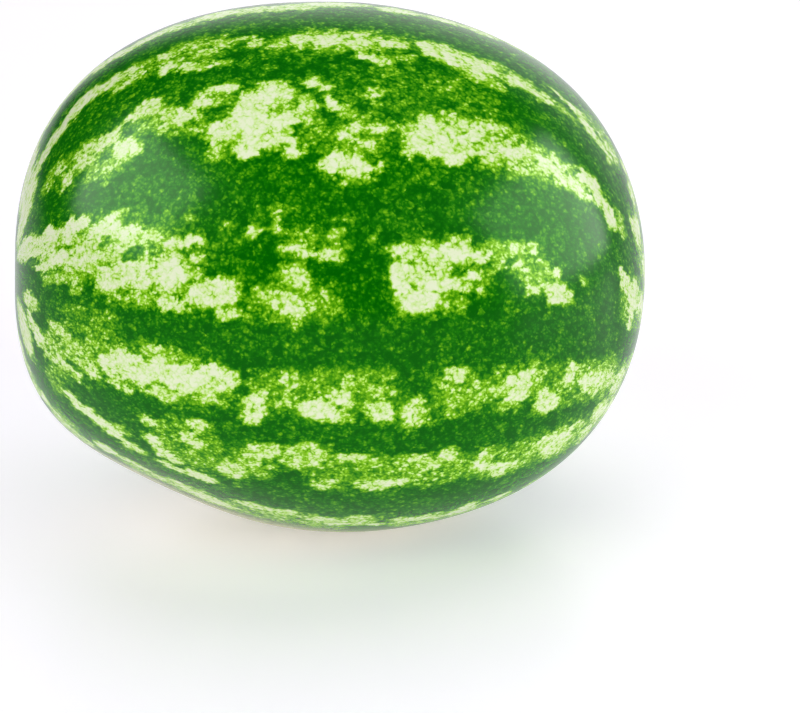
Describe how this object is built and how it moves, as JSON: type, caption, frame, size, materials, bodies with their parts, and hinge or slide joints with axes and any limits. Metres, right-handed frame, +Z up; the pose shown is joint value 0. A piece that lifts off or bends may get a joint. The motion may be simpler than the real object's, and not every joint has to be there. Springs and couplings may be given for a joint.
{
  "type": "watermelon",
  "caption": "Whole oblong watermelon with dark and pale mottled stripes, lying on a small flat spot.",
  "frame": {"origin": "on the ground, under the middle of the fruit's bounding box", "axes": "+X along the fruit, towards its stem end; +Z up, as it lies on its flat spot"},
  "size_m": [0.2948, 0.247, 0.2499],
  "materials": {
    "rind": "waxy, softly glossy"
  },
  "bodies": {
    "root": {"watermelon": "rind"}
  },
  "joints": []
}
